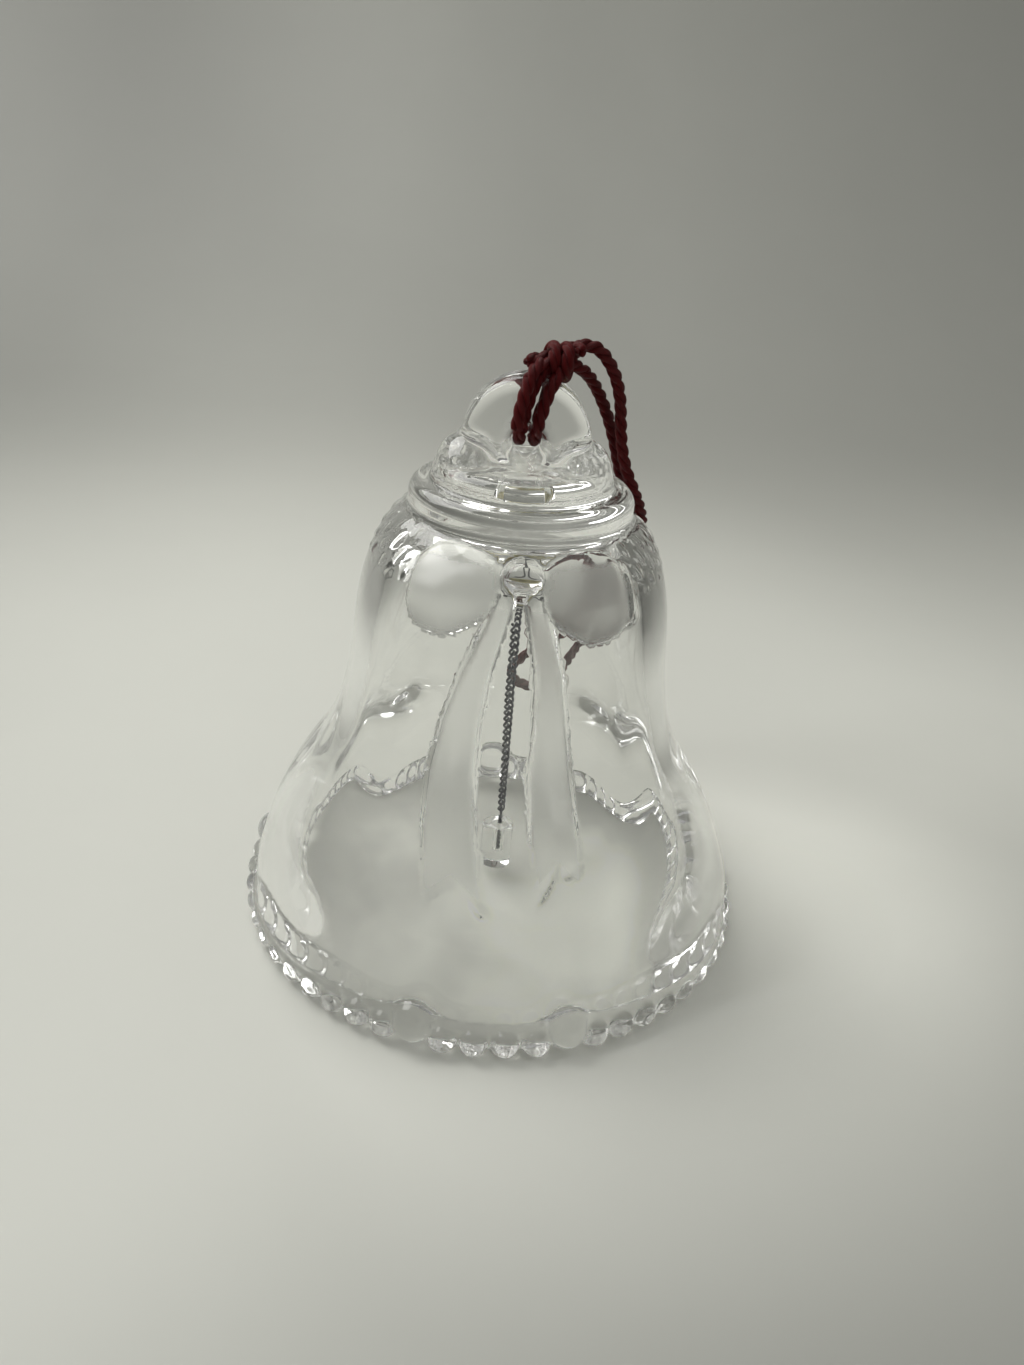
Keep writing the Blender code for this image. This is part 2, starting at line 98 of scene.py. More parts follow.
# ---------------------------------------------------------------- the cord's routes, as in the CAD
SLING_LEFT = (
    (1.4, -3.9, 114.6), (0.3, -5.3, 112.9), (-0.4, -6.3, 110.8), (-0.9, -6.6, 108.4), (-1.2, -6.1, 106.1),
    (-1.4, -4.6, 104.1), (-1.4, -2.4, 103.0), (-1.4, 0.0, 102.7), (-1.4, 2.4, 103.0), (-1.3, 4.6, 104.1),
    (-0.9, 6.1, 106.1), (-0.2, 6.6, 108.4), (0.8, 6.3, 110.8), (1.9, 5.2, 113.0), (2.8, 3.9, 114.5),
)
SLING_RIGHT = (
    (4.3, -4.1, 114.4), (3.3, -5.4, 112.8), (2.6, -6.3, 110.8), (2.0, -6.6, 108.4), (1.6, -6.1, 106.1),
    (1.4, -4.6, 104.1), (1.4, -2.4, 103.0), (1.4, 0.0, 102.7), (1.4, 2.4, 103.0), (1.6, 4.6, 104.1),
    (2.1, 6.1, 106.1), (2.8, 6.6, 108.4), (3.7, 6.3, 110.8), (4.7, 5.3, 112.9), (5.6, 4.0, 114.4),
)
FRONT_TAIL = (
    (-0.4, -6.7, 115.2), (-1.0, -8.0, 113.2), (-1.6, -8.8, 111.0), (-2.0, -9.2, 108.6), (-2.2, -9.2, 106.2),
)
TOP_TAIL = ((0.7, -2.5, 117.4), (-0.3, -3.4, 117.2), (-1.3, -4.2, 116.8))
LOOP = (
    (7.6, 2.5, 119.0), (9.3, 3.0, 119.25), (11.6, 3.9, 118.75), (13.8, 4.9, 116.8), (15.9, 6.3, 113.5),
    (17.4, 7.4, 109.2), (18.2, 8.0, 104.4), (19.1, 8.2, 99.6), (20.6, 8.5, 95.2), (22.6, 9.1, 91.2),
    (24.5, 10.8, 87.2), (25.8, 13.6, 82.9), (25.8, 17.3, 77.4), (25.0, 20.9, 70.8), (23.8, 23.9, 63.4),
    (21.7, 27.1, 56.0), (19.3, 30.2, 50.0), (16.9, 33.8, 44.0), (14.9, 37.2, 39.0), (13.95, 39.35, 36.3),
    (12.2, 41.3, 34.25), (9.3, 42.4, 33.5), (6.3, 42.45, 34.1), (4.1, 41.5, 35.85), (3.1, 39.9, 38.4),
    (3.4, 38.7, 40.6), (4.7, 37.7, 42.4), (8.4, 35.9, 46.6), (13.2, 33.0, 50.8), (17.8, 29.6, 56.4),
    (20.6, 26.6, 63.4), (22.0, 23.7, 71.0), (22.3, 21.1, 77.6), (22.0, 18.4, 83.4), (22.0, 14.9, 87.7),
    (20.4, 12.7, 92.0), (18.9, 11.9, 96.6), (17.4, 11.4, 101.2), (15.6, 10.4, 105.6), (13.4, 8.7, 109.8),
    (11.2, 6.4, 113.0), (9.3, 4.2, 114.8),
)
CORD_TWIST = 7.6  # length of one turn of the cord's three plies
PLY_R = 0.62
PLY_OFFSET = 0.60  # from the cord's centreline to each ply's
KNOT_AT = (4.9, -0.5, 117.1)


# ---------------------------------------------------------------- materials
def new_material(name):
    mat = bpy.data.materials.new(name)
    mat.use_nodes = True
    return mat, mat.node_tree.nodes, mat.node_tree.links, mat.node_tree.nodes["Principled BSDF"]


def noise(nodes, links, scale, detail=4.0, rough=0.55):
    """A noise texture in object coordinates, whose scale is in features for each metre."""
    coords = nodes.new("ShaderNodeTexCoord")
    texture = nodes.new("ShaderNodeTexNoise")
    texture.inputs["Scale"].default_value = scale
    texture.inputs["Detail"].default_value = detail
    texture.inputs["Roughness"].default_value = rough
    links.new(coords.outputs["Object"], texture.inputs["Vector"])
    return texture


def bump(nodes, links, height, shader, strength, distance):
    node = nodes.new("ShaderNodeBump")
    node.inputs["Strength"].default_value = strength
    node.inputs["Distance"].default_value = distance
    links.new(height, node.inputs["Height"])
    links.new(node.outputs["Normal"], shader.inputs["Normal"])
    return node


def ramp(nodes, links, factor, stops):
    node = nodes.new("ShaderNodeValToRGB")
    elements = node.color_ramp.elements
    while len(elements) < len(stops):
        elements.new(0.5)
    for element, (place, colour) in zip(elements, stops):
        element.position = place
        element.color = (*colour, 1.0)
    links.new(factor, node.inputs["Fac"])
    return node


def map_range(nodes, links, value, low, high):
    node = nodes.new("ShaderNodeMapRange")
    node.inputs["To Min"].default_value = low
    node.inputs["To Max"].default_value = high
    links.new(value, node.inputs["Value"])
    return node


def glass_material():
    """Clear pressed glass with the faint waves of a press mould, satin where the mesh's satin value says."""
    mat, nodes, links, shader = new_material("pressed_glass")
    shader.inputs["Base Color"].default_value = (0.99, 0.993, 0.985, 1.0)
    shader.inputs["Transmission Weight"].default_value = 1.0
    shader.inputs["IOR"].default_value = 1.52
    satin = nodes.new("ShaderNodeAttribute")
    satin.attribute_name = "satin"
    rough = map_range(nodes, links, satin.outputs["Fac"], 0.0, 0.4)
    links.new(rough.outputs["Result"], shader.inputs["Roughness"])
    waves = noise(nodes, links, 90.0, 1.5, 0.4)
    bump(nodes, links, waves.outputs["Fac"], shader, 0.25, 0.0004)
    return mat


def acrylic_material():
    mat, nodes, links, shader = new_material("clear_acrylic")
    shader.inputs["Base Color"].default_value = (0.95, 0.955, 0.95, 1.0)
    shader.inputs["Transmission Weight"].default_value = 1.0
    shader.inputs["IOR"].default_value = 1.49
    scratches = noise(nodes, links, 900.0, 6.0, 0.6)
    rough = map_range(nodes, links, scratches.outputs["Fac"], 0.01, 0.09)
    links.new(rough.outputs["Result"], shader.inputs["Roughness"])
    bump(nodes, links, scratches.outputs["Fac"], shader, 0.08, 0.0001)
    return mat


def steel_material(name, dark, light, roughness):
    """Drawn steel wire with uneven tarnish."""
    mat, nodes, links, shader = new_material(name)
    shader.inputs["Metallic"].default_value = 1.0
    tarnish = noise(nodes, links, 1400.0, 5.0, 0.65)
    tone = ramp(nodes, links, tarnish.outputs["Fac"], ((0.3, dark), (0.75, light)))
    links.new(tone.outputs["Color"], shader.inputs["Base Color"])
    rough = map_range(nodes, links, tarnish.outputs["Fac"], roughness + 0.12, roughness - 0.08)
    links.new(rough.outputs["Result"], shader.inputs["Roughness"])
    bump(nodes, links, tarnish.outputs["Fac"], shader, 0.2, 0.00005)
    return mat


def adhesive_material():
    mat, nodes, links, shader = new_material("old_adhesive")
    blotches = noise(nodes, links, 420.0, 6.0, 0.6)
    tone = ramp(
        nodes, links, blotches.outputs["Fac"],
        ((0.3, (0.30, 0.26, 0.10)), (0.55, (0.50, 0.46, 0.24)), (0.8, (0.66, 0.63, 0.42))),
    )
    links.new(tone.outputs["Color"], shader.inputs["Base Color"])
    rough = map_range(nodes, links, blotches.outputs["Fac"], 0.55, 0.25)
    links.new(rough.outputs["Result"], shader.inputs["Roughness"])
    shader.inputs["Subsurface Weight"].default_value = 0.25
    shader.inputs["Subsurface Radius"].default_value = (0.002, 0.0018, 0.0009)
    bump(nodes, links, blotches.outputs["Fac"], shader, 0.6, 0.0004)
    return mat


def rayon_material():
    """Shiny rayon plies: fine filaments run along each ply, with painted shade in the grooves between them.
    """
    mat, nodes, links, shader = new_material("crimson_rayon")
    uv = nodes.new("ShaderNodeUVMap")
    uv.uv_map = "ply"
    filaments_and_groove_shade = nodes.new("ShaderNodeTexWave")
    filaments_and_groove_shade.wave_type = "BANDS"
    filaments_and_groove_shade.bands_direction = "X"
    filaments_and_groove_shade.inputs["Scale"].default_value = 3.2
    filaments_and_groove_shade.inputs["Distortion"].default_value = 1.6
    filaments_and_groove_shade.inputs["Detail"].default_value = 2.0
    filaments_and_groove_shade.inputs["Detail Scale"].default_value = 1.4
    links.new(uv.outputs["UV"], filaments_and_groove_shade.inputs["Vector"])
    # the colour runs from painted shade in the grooves up to a painted highlight on the filaments
    tone = ramp(
        nodes, links, filaments_and_groove_shade.outputs["Fac"],
        ((0.0, (0.036, 0.0006, 0.0009)), (0.6, (0.115, 0.0022, 0.003)), (1.0, (0.22, 0.006, 0.007))),
    )
    links.new(tone.outputs["Color"], shader.inputs["Base Color"])
    shader.inputs["Roughness"].default_value = 0.5
    shader.inputs["Specular IOR Level"].default_value = 0.25
    bump(nodes, links, filaments_and_groove_shade.outputs["Fac"], shader, 0.7, 0.00012)
    return mat


# ---------------------------------------------------------------- smooth fields
def smooth_min(a, b, k):
    """The union of two distance fields with a fillet about k wide."""
    h = np.maximum(k - np.abs(a - b), 0.0) / k
    return np.minimum(a, b) - h * h * k * 0.25


def smooth_max(a, b, k):
    return -smooth_min(-a, -b, k)


def smoothstep(low, high, value):
    t = np.clip((value - low) / (high - low), 0.0, 1.0)
    return t * t * (3 - 2 * t)


def curve_table(points, step=0.05):
    """(heights, radii): a curve without kinks through (height, radius) points, sampled finely."""
    z = np.array([p[0] for p in points])
    r = np.array([p[1] for p in points])
    n = len(z)
    h = np.diff(z)
    a = np.zeros((n, n))
    b = np.zeros(n)
    a[0, 0] = a[-1, -1] = 1.0
    for i in range(1, n - 1):
        a[i, i - 1:i + 2] = h[i - 1], 2 * (h[i - 1] + h[i]), h[i]
        b[i] = 6 * ((r[i + 1] - r[i]) / h[i] - (r[i] - r[i - 1]) / h[i - 1])
    m = np.linalg.solve(a, b)
    at = np.arange(z[0], z[-1], step)
    i = np.clip(np.searchsorted(z, at, side="right") - 1, 0, n - 2)
    u, v = at - z[i], z[i + 1] - at
    radii = (
        (m[i] * v**3 + m[i + 1] * u**3) / (6 * h[i])
        + (r[i] / h[i] - m[i] * h[i] / 6) * v
        + (r[i + 1] / h[i] - m[i + 1] * h[i] / 6) * u
    )
    return at, radii


OUTER_CURVE = curve_table(OUTER)
INNER_CURVE = curve_table(INNER)


def rounded_disc(r, z, radius, low, high, edge):
    """Distance to a turned disc with rounded edges."""
    dr = r - (radius - edge)
    dz = np.abs(z - (low + high) / 2) - ((high - low) / 2 - edge)
    return np.hypot(np.maximum(dr, 0), np.maximum(dz, 0)) + np.minimum(np.maximum(dr, dz), 0) - edge


def ball(x, y, z, centre, semi):
    """Approximate distance to an ellipsoid."""
    px, py, pz = (x - centre[0]) / semi[0], (y - centre[1]) / semi[1], (z - centre[2]) / semi[2]
    k0 = np.sqrt(px * px + py * py + pz * pz) + 1e-9
    k1 = np.sqrt((px / semi[0]) ** 2 + (py / semi[1]) ** 2 + (pz / semi[2]) ** 2) + 1e-9
    return k0 * (k0 - 1) / k1


# ---------------------------------------------------------------- relief of the bell's outer side
def swag(azimuth):
    """(place between two large beads from 0 to 1, the angle between those two beads), for degrees."""
    beads = np.array([*LARGE_BEAD_DEG, LARGE_BEAD_DEG[0] + 360.0])
    turned = (azimuth - beads[0]) % 360.0 + beads[0]
    index = np.clip(np.searchsorted(beads, turned, side="right") - 1, 0, len(beads) - 2)
    width = beads[index + 1] - beads[index]
    return (turned - beads[index]) / width, width


def drape(azimuth, z):
    """How far the draped skirt stands out between large beads, with soft folds running up from them."""
    place, width = swag(azimuth)
    wide = smoothstep(20.0, 80.0, width)
    lip = (0.7 + 0.3 * smoothstep(0.0, 5.0, z)) * (1 - smoothstep(14.0, 44.0, z))
    fold = 3.0 * wide * np.sin(np.pi * place) ** 2 * lip
    pleat = smoothstep(6.0, 18.0, z) * (1 - smoothstep(44.0, 66.0, z))
    ripple = 0.22 * wide * np.cos(6 * np.pi * place) * np.sin(np.pi * place) ** 0.5 * pleat
    return fold + ripple


TIP_MARKS = (  # x, height, half length, half width and slant in degrees of the drops at the tails' ends
    (8.2, 31.8, 3.0, 0.9, 30.0), (13.0, 34.0, 1.6, 1.0, 75.0), (-3.4, 28.4, 1.5, 0.8, -55.0),
)


def tip_marks(x, z):
    """Small raised drops where the tails end."""
    height = np.zeros_like(x)
    for at_x, at_z, half_length, half_width, slant in TIP_MARKS:
        angle = math.radians(slant)
        along = (z - at_z) * math.cos(angle) + (x - at_x) * math.sin(angle)
        aside = (x - at_x) * math.cos(angle) - (z - at_z) * math.sin(angle)
        height = height + 0.8 * np.exp(-((along / half_length) ** 2) - (aside / half_width) ** 2)
    return height


def ledge(azimuth, z):
    """The rim that the beads are set on: its upper edge rises over each large bead."""
    place, width = swag(azimuth)
    away = np.minimum(place, 1 - place) * width
    top = 6.0 + 3.4 * np.exp(-((away / 5.2) ** 2))
    flange = smoothstep(20.0, 80.0, width) * np.sin(np.pi * place) ** 2
    return 1.1 * (1 - 0.7 * flange) * (1 - smoothstep(top - 0.7, top + 0.7, z))


def dimples(azimuth, z):
    """Rows of small slanting drops round the shoulder, behind the bow."""
    away = np.abs((azimuth + 180.0) % 360.0 - 180.0)
    lean = away + (z - 85.0) * 0.9
    step = 7.5
    column = (lean / step + 0.5) % 1.0 - 0.5
    row = ((z + 2.0 * np.floor(lean / step + 0.5)) / 4.0) % 1.0 - 0.5
    drop = np.maximum(1 - (column / 0.36) ** 2 - (row / 0.40) ** 2, 0.0)
    band = smoothstep(46.0, 50.0, away) * smoothstep(79.5, 81.0, z) * (1 - smoothstep(89.5, 91.0, z))
    return 0.28 * drop * band


TAIL_LEFT = ((26.0, -8.2, 5.6), (32.0, -8.9, 5.6), (40.0, -9.9, 5.3), (50.0, -10.0, 4.5), (60.0, -8.8, 3.7),
             (70.0, -6.7, 2.9), (78.0, -4.0, 2.3), (86.0, -1.6, 1.9))
TAIL_RIGHT = ((26.0, 11.0, 4.6), (34.0, 10.6, 4.6), (40.0, 9.3, 4.7), (50.0, 7.6, 4.2), (60.0, 7.0, 3.3),
              (70.0, 5.9, 2.8), (78.0, 3.8, 2.3), (86.0, 1.6, 1.8))


TAILS = (  # stations, height of the tail's end, depth of its notch, place of its crease from -1 to 1
    (TAIL_LEFT, 27.3, 4.0, 0.25), (TAIL_RIGHT, 29.5, 4.5, -0.3),
)
TAIL_EDGE = 1.5  # width of the rounding at the tails' edges
TAIL_THICK = 1.55


def tail_place(x, z, stations):
    """Where a point is across a ribbon tail, -1 to 1 from edge to edge, and the tail's half width there."""
    heights = [s[0] for s in stations]
    centre = np.interp(z, heights, [s[1] for s in stations])
    half = np.interp(z, heights, [s[2] for s in stations])
    return (x - centre) / half, half


def tail_relief(x, z, stations, end_z, notch, crease_at):
    """How far a ribbon tail stands out, with rounded edges, a notched end and one soft crease."""
    across, half = tail_place(x, z, stations)
    edge = np.clip((1 - np.abs(across)) * half / TAIL_EDGE, 0.0, 1.0)
    sides = np.sqrt(np.maximum(1 - (1 - edge) ** 2, 0.0))
    end = end_z + notch * (1 - np.abs(across))
    tip = np.clip((z - end) / TAIL_EDGE, 0.0, 1.0)
    foot = np.sqrt(np.maximum(1 - (1 - tip) ** 2, 0.0)) * (0.12 + 0.88 * smoothstep(0.0, 16.0, z - end))
    top = 1 - smoothstep(83.0, 86.0, z)
    crease = 0.18 * np.exp(-(((across - crease_at) * half) / 1.5) ** 2)
    swell = 0.25 * (1 - across**2)
    return (TAIL_THICK + swell - crease) * sides * foot * top * (np.abs(across) < 1)


LOOP_AZ = 24.5  # middle of each bow loop, in degrees from the bow's knot
LOOP_Z = 81.3
DRIP_AZ = 43.5  # the long drop beside the right loop, in degrees from the bow's knot
BOW_KNOT_AT = (0.3, -25.4, 84.4)
BOW_KNOT_SEMI = (3.9, 3.6, 3.9)
CLEAR_KNOT_AT = (0.3, -25.6, 84.4)  # the part round the bow's knot that stays clear
CLEAR_KNOT_SEMI = (4.4, 4.4, 4.0)


def loop_place(azimuth, z, side):
    """Where a point is in a bow loop: 0 at its middle and 1 at its edge; it narrows towards the knot."""
    s = (side * azimuth - LOOP_AZ) / (19.0 + 0.12 * (z - LOOP_Z))
    inward = np.clip(-s, 0.0, 1.2)
    t = (z - LOOP_Z - 0.3 - 1.9 * inward) / (7.3 - 3.3 * inward)
    return (np.abs(s) ** 3.4 + np.abs(t) ** 3.0) ** (1 / 3.2), s, t


def loop_relief(azimuth, z, side):
    """How far a bow loop stands out: a pillow that is fuller at its outer end."""
    q, s, t = loop_place(azimuth, z, side)
    pillow = np.sqrt(np.maximum(1 - np.minimum(q, 1.0) ** 2.6, 0.0))
    return pillow * (2.4 + 0.9 * smoothstep(-1.0, 0.9, s)) * (0.86 + 0.14 * np.clip(t, -1.0, 1.0))


def relief(x, y, z, azimuth):
    """Everything that stands out from the turned outline, apart from the beads and the bow's knot."""
    front = y < 0
    height = drape(azimuth, z) + dimples(azimuth, z) + ledge(azimuth, z)
    bow = np.maximum(loop_relief(azimuth, z, -1), loop_relief(azimuth, z, 1))
    drip = np.exp(-(((azimuth - DRIP_AZ) / (2.9 - 0.12 * (z - 77.0))) ** 2))
    height = height + 1.5 * drip * smoothstep(75.5, 78.0, z) * (1 - smoothstep(85.0, 87.0, z))
    tails = np.maximum(*(tail_relief(x, z, *tail) for tail in TAILS))
    return height + np.where(front, smooth_max(bow, tails, 0.8) + tip_marks(x, z), 0.0)


def satin_amount(p):
    """How satin the glass is: 1 on the bow's tails, less on its loops and 0 on the clear glass."""
    x, y, z = p
    r = np.hypot(x, y)
    azimuth = np.degrees(np.arctan2(x, -y))
    outside = (r > np.interp(z, *INNER_CURVE) + 2.0) & (y < 0)
    amount = np.zeros_like(x)
    for side in (-1, 1):
        q, _, _ = loop_place(azimuth, z, side)
        amount = np.maximum(amount, 0.7 * (1 - smoothstep(0.86, 0.97, q)))
    for stations, end_z, notch, _ in TAILS:
        across, half = tail_place(x, z, stations)
        end = end_z + notch * (1 - np.abs(across))
        inside = smoothstep(0.3, 0.9, (1 - np.abs(across)) * half) * smoothstep(0.4, 3.0, z - end)
        amount = np.maximum(amount, inside * (1 - smoothstep(80.0, 82.0, z)))
    amount = amount * outside * (1 - smoothstep(87.0, 88.0, z))
    knot = ball(x, y, z, CLEAR_KNOT_AT, CLEAR_KNOT_SEMI)
    return amount * smoothstep(0.0, 0.6, knot)


# ---------------------------------------------------------------- the glass
def beads(x, y, z, azimuth):
    """Distance to the nearest small and large beads of the hem."""
    place, width = swag(azimuth)
    count = np.round(width / BEAD_STEP_DEG)
    nearest = np.clip(np.round(place * count), 1, count - 1)
    start = azimuth - place * width
    angle = np.radians(start + nearest * width / count)
    ring, height = SMALL_BEAD_RING
    small = np.sqrt(
        (x - ring * np.sin(angle)) ** 2 + (y + ring * np.cos(angle)) ** 2 + (z - height) ** 2
    ) - SMALL_BEAD_R
    angle = np.radians(start + np.round(place) * width)
    ring, height = LARGE_BEAD_RING
    large = np.sqrt(
        (x - ring * np.sin(angle)) ** 2 + (y + ring * np.cos(angle)) ** 2 + (z - height) ** 2
    ) - LARGE_BEAD_R
    return np.minimum(small, large)


def crown(x, y, z, r):
    """The two collars, the upper one's two raised ears, and the round-edged disc between the ears."""
    lower = rounded_disc(r, z, 21.4, 84.0, 94.6, 2.7)
    upper = rounded_disc(r, z, 16.8, 90.0, 98.2, 2.6)
    ears = ball(np.abs(x), y, z, (10.6, 0.0, 96.0), (6.2, 9.5, 7.3))
    across = np.hypot(x, z - DISC_Z)
    disc = rounded_disc(across, y, DISC_R, -DISC_HALF_THICK, DISC_HALF_THICK, 2.8) + (across / 40) ** 2
    both = smooth_min(smooth_min(lower, upper, 1.2), ears, 1.2)
    return smooth_min(both, disc, 1.4)


def glass(p):
    """The bell's field: below zero inside the glass, close to the distance in millimetres near it."""
    x, y, z = p
    r = np.hypot(x, y)
    azimuth = np.degrees(np.arctan2(x, -y))
    heights, radii = OUTER_CURVE
    outer_r = np.interp(z, heights, radii)
    slope = (np.interp(z + 0.5, heights, radii) - outer_r) / 0.5
    wall = (r - outer_r - relief(x, y, z, azimuth)) / np.sqrt(1 + slope**2)
    wall = smooth_max(wall, z - 90.0, 3.0)
    knot = ball(x, y, z, BOW_KNOT_AT, BOW_KNOT_SEMI)
    body = smooth_min(wall, knot, 0.8)
    body = smooth_min(body, crown(x, y, z, r), 1.5)
    body = smooth_max(body, 0.05 - z, 2.4)
    body = smooth_min(body, beads(x, y, z, azimuth), 0.5)
    hole = np.hypot(x, z - DISC_Z) - HOLE_R - HOLE_FLARE * (y / DISC_HALF_THICK) ** 2
    hole = np.maximum(hole, np.abs(y) - DISC_HALF_THICK * 2.2)
    body = smooth_max(body, -hole, 0.9)
    heights, radii = INNER_CURVE
    inner_r = np.interp(z, heights, radii)
    slope = (np.interp(z + 0.5, heights, radii) - inner_r) / 0.5
    cavity = smooth_max((r - inner_r) / np.sqrt(1 + slope**2), z - CEILING_Z, 7.0)
    return smooth_max(body, -cavity, 1.2 + 2.0 * (1 - smoothstep(3.0, 12.0, z)))


def surface_nets(field, low, high, cell):
    """Closed quads round the field's zero surface: one vertex in each grid cell that the surface crosses."""
    axes = [np.arange(a, b + cell, cell) for a, b in zip(low, high)]
    values = np.empty([len(a) for a in axes], np.float32)
    slab = 12
    for k in range(0, len(axes[2]), slab):
        grid = np.meshgrid(axes[0], axes[1], axes[2][k:k + slab], indexing="ij")
        values[:, :, k:k + slab] = field(grid)
    inside = values < 0
    total = np.zeros([n - 1 for n in values.shape] + [3], np.float32)
    hits = np.zeros([n - 1 for n in values.shape], np.int16)
    quads = []
    for axis in range(3):
        near = [slice(None)] * 3
        far = [slice(None)] * 3
        near[axis], far[axis] = slice(None, -1), slice(1, None)
        crossed = inside[tuple(near)] != inside[tuple(far)]
        i, j, k = np.nonzero(crossed)
        a = values[tuple(near)][i, j, k]
        b = values[tuple(far)][i, j, k]
        at = np.stack([i, j, k], 1).astype(np.float32)
        at[:, axis] += a / (a - b)
        u, v = (axis + 1) % 3, (axis + 2) % 3
        cells = []
        for du, dv in ((0, 0), (1, 0), (1, 1), (0, 1)):
            index = np.stack([i, j, k], 1)
            index[:, u] -= du
            index[:, v] -= dv
            cells.append(index)
            np.add.at(total, tuple(index.T), at)
            np.add.at(hits, tuple(index.T), 1)
        leaving = inside[tuple(near)][i, j, k]
        ring = np.stack(cells, 1)
        ring[~leaving] = ring[~leaving][:, ::-1]
        quads.append(ring)
    used = hits > 0
    number = np.cumsum(used.ravel()).reshape(used.shape) - 1
    places = total[used] / hits[used][:, None]
    points = np.array(low) + places * cell
    rings = np.concatenate(quads)
    return points.astype(float), number[rings[..., 0], rings[..., 1], rings[..., 2]]


def gradient(field, points, step=0.2):
    parts = []
    for axis in range(3):
        shift = np.zeros(3)
        shift[axis] = step
        parts.append((field((points + shift).T) - field((points - shift).T)) / (2 * step))
    return np.stack(parts, 1)


def settle(field, points, cell):
    """Moves each point onto the field's zero surface, at most half a cell from where it was."""
    start = points.copy()
    for _ in range(4):
        slope = gradient(field, points)
        size = np.maximum((slope**2).sum(1), 0.05)
        points = points - slope * (field(points.T) / size)[:, None]
        moved = points - start
        length = np.linalg.norm(moved, axis=1)
        points = start + moved * np.minimum(1.0, 0.6 * cell / np.maximum(length, 1e-9))[:, None]
    slope = gradient(field, points)
    return points, slope / np.maximum(np.linalg.norm(slope, axis=1), 1e-9)[:, None]


# ---------------------------------------------------------------- mesh helpers
def mesh_piece(name, points, faces, mat, body, nodes=(), slot=None, normals=None):
    """A smooth mesh from points in millimetres, on its body and in place of its CAD nodes."""
    mesh = bpy.data.meshes.new(name)
    mesh.from_pydata((np.asarray(points) * MM).tolist(), [], [list(f) for f in faces])
    mesh.materials.append(mat)
    mesh.shade_smooth()
    if normals is not None:
        mesh.normals_split_custom_set_from_vertices(normals.tolist())
    obj = bpy.data.objects.new(name, mesh)
    bpy.context.scene.collection.objects.link(obj)
    place(obj, body, nodes, slot)
    return obj


def place(obj, body, nodes=(), slot=None):
    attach(obj, body)
    if nodes:
        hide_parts(*nodes)


def smooth_route(points, spacing):
    """Points a fixed spacing apart along a Catmull-Rom curve through the route's points."""
    pts = [Vector(p) for p in points]
    pts = [2 * pts[0] - pts[1], *pts, 2 * pts[-1] - pts[-2]]
    fine = []
    for a, b, c, d in zip(pts, pts[1:], pts[2:], pts[3:]):
        for k in range(16):
            t = k / 16
            fine.append(
                0.5 * (2 * b + (c - a) * t + (2 * a - 5 * b + 4 * c - d) * t**2
                       + (3 * b - a - 3 * c + d) * t**3)
            )
    fine.append(pts[-2])
    fine = np.array([list(p) for p in fine])
    walked = np.concatenate([[0.0], np.cumsum(np.linalg.norm(np.diff(fine, axis=0), axis=1))])
    count = max(3, round(walked[-1] / spacing))
    at = np.linspace(0, walked[-1], count + 1)
    return np.stack([np.interp(at, walked, fine[:, k]) for k in range(3)], 1)


def frames_along(path, cyclic=False):
    """Tangents and two crosswise directions along a path, carried without twist."""
    if cyclic:
        tangents = np.roll(path, -1, 0) - np.roll(path, 1, 0)
    else:
        tangents = np.gradient(path, axis=0)
    tangents /= np.linalg.norm(tangents, axis=1)[:, None]
    side = np.cross(tangents[0], (0.31, 0.17, 0.93))
    side /= np.linalg.norm(side)
    sides = []
    for t in tangents:
        side = side - t * side.dot(t)
        side /= np.linalg.norm(side)
        sides.append(side)
    sides = np.array(sides)
    return tangents, sides, np.cross(tangents, sides)


def tube(path, radius, sides, cyclic=False, round_ends=True, flat=1.0):
    """(points, faces) of a round tube along a path; radius may change along it, ends are domed."""
    path = np.asarray(path, float)
    _, u, v = frames_along(path, cyclic)
    radius = np.broadcast_to(np.asarray(radius, float), (len(path),)).copy()
    if not cyclic and round_ends:
        walked = np.concatenate([[0.0], np.cumsum(np.linalg.norm(np.diff(path, axis=0), axis=1))])
        for gap in (walked, walked[-1] - walked):
            near = np.clip(1 - gap / radius, 0, 1)
            radius = radius * np.sqrt(np.maximum(1 - near**2, 0.02))
    angle = np.linspace(0, 2 * np.pi, sides, endpoint=False)
    ring = np.cos(angle)[None, :, None] * u[:, None] + np.sin(angle)[None, :, None] * v[:, None] * flat
    points = (path[:, None] + ring * radius[:, None, None]).reshape(-1, 3)
    rows = len(path) if cyclic else len(path) - 1
    faces = []
    for a in range(rows):
        b = (a + 1) % len(path)
        for k in range(sides):
            n = (k + 1) % sides
            faces.append((a * sides + k, a * sides + n, b * sides + n, b * sides + k))
    if not cyclic:
        faces.append(tuple(range(sides - 1, -1, -1)))
        faces.append(tuple(range((len(path) - 1) * sides, len(path) * sides)))
    return points, faces


def lathe(profile, at, steps=96, wobble=None):
    """(points, faces) of a turned solid from a closed-on-axis profile of (radius, height), top to bottom."""
    angle = np.linspace(0, 2 * np.pi, steps, endpoint=False)
    points, faces = [(at[0], at[1], profile[0][1] + at[2])], []
    for r, z in profile[1:-1]:
        for a in angle:
            grow = wobble(a, r) if wobble else 1.0
            points.append((at[0] + r * grow * math.cos(a), at[1] + r * grow * math.sin(a), z + at[2]))
    points.append((at[0], at[1], profile[-1][1] + at[2]))
    rings = len(profile) - 2
    for k in range(steps):
        n = (k + 1) % steps
        faces.append((0, 1 + k, 1 + n))
        for row in range(rings - 1):
            a, b = 1 + row * steps, 1 + (row + 1) * steps
            faces.append((a + k, b + k, b + n, a + n))
        last = 1 + (rings - 1) * steps
        faces.append((last + k, len(points) - 1, last + n))
    return points, faces


